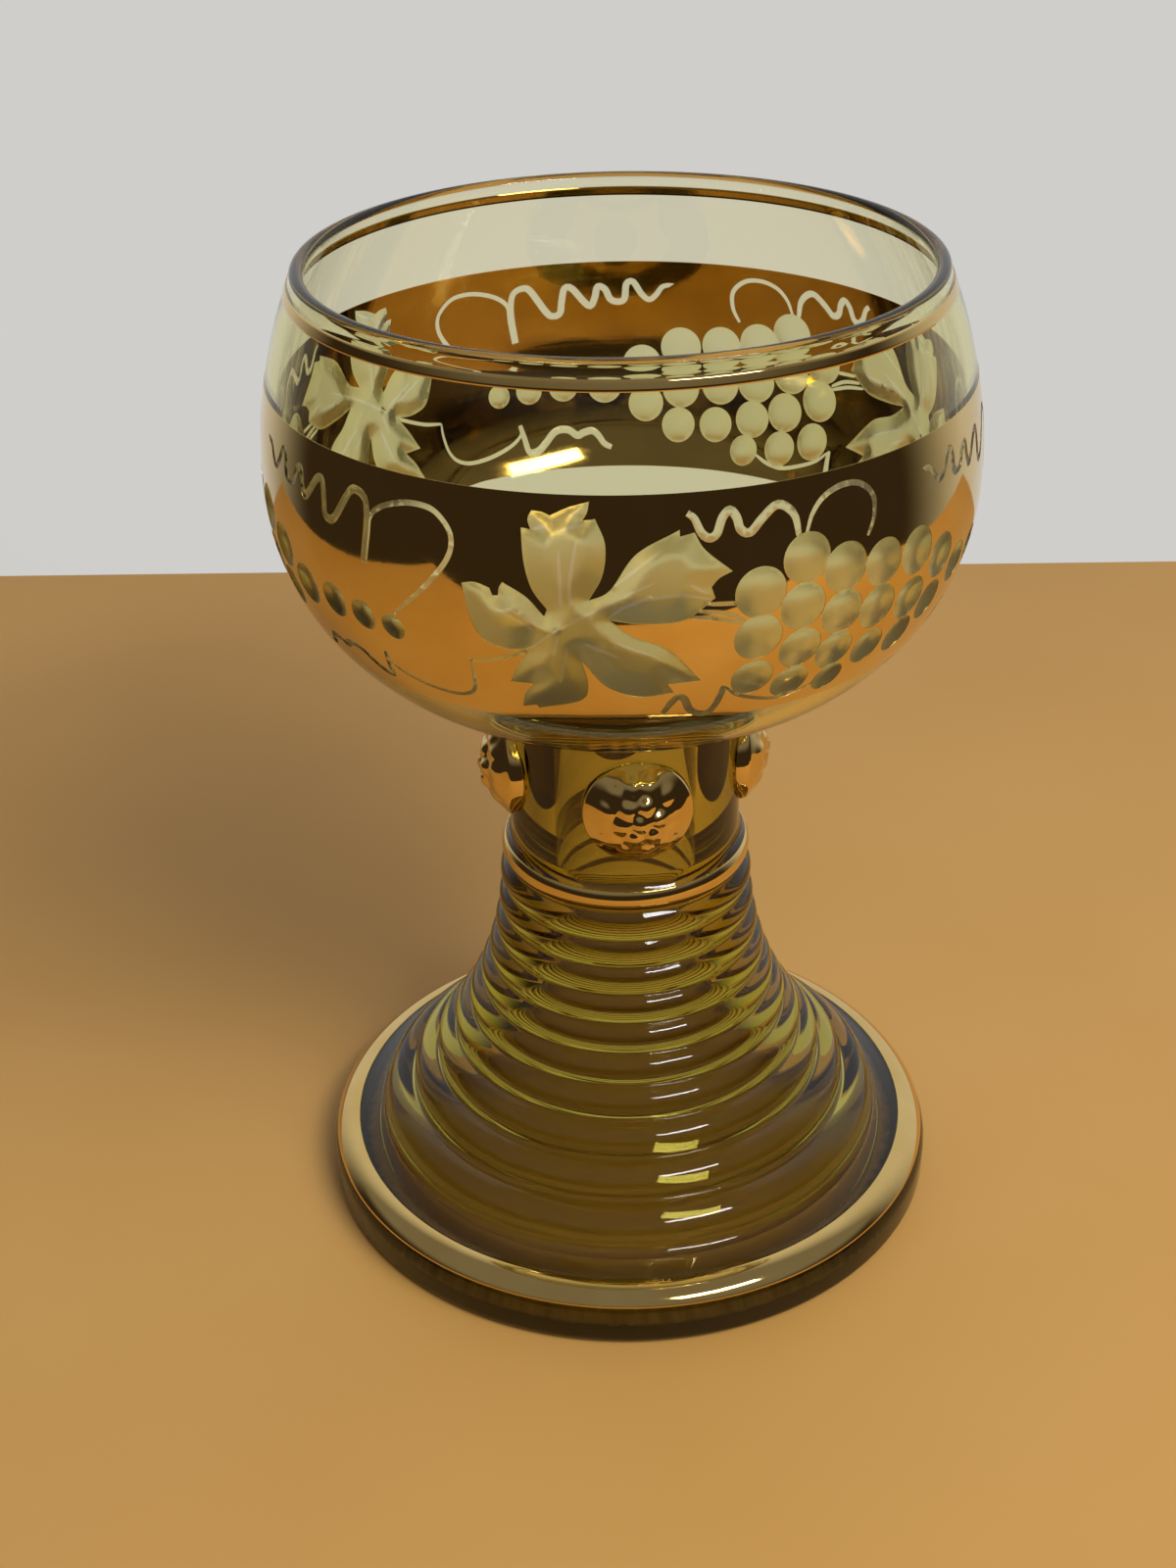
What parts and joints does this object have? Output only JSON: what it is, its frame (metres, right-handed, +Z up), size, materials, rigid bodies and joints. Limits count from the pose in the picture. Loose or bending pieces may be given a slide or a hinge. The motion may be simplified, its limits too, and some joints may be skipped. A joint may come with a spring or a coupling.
{
  "type": "roemer wine glass",
  "caption": "Roemer wine glass: round gilded bowl with a cut vine band on a hollow prunted shank and a wide ringed hollow foot, for drinking wine.",
  "frame": {"origin": "centre of the foot's base, in the plane of the table", "axes": "+Z up along the axis of the bowl, shank and foot; -Y towards the front, where the pictured leaf and prunt are"},
  "size_m": [0.0834, 0.0834, 0.1251],
  "materials": {
    "green_glass": "olive green soda-lime glass, fire polished",
    "pale_glass": "thin pale olive soda-lime glass, fire polished",
    "gilding": "fired bright gold, mirror polished"
  },
  "bodies": {
    "root": {"foot": "green_glass", "shank": "green_glass", "bowl": "pale_glass", "prunt_front": "green_glass", "prunt_right": "green_glass", "prunt_back": "green_glass", "prunt_left": "green_glass", "prunt_front_gilding": "gilding", "prunt_right_gilding": "gilding", "prunt_back_gilding": "gilding", "prunt_left_gilding": "gilding", "collar_gilding": "gilding", "foot_gilding": "gilding", "bowl_gilding": "gilding", "rim_gilding": "gilding"}
  },
  "joints": []
}
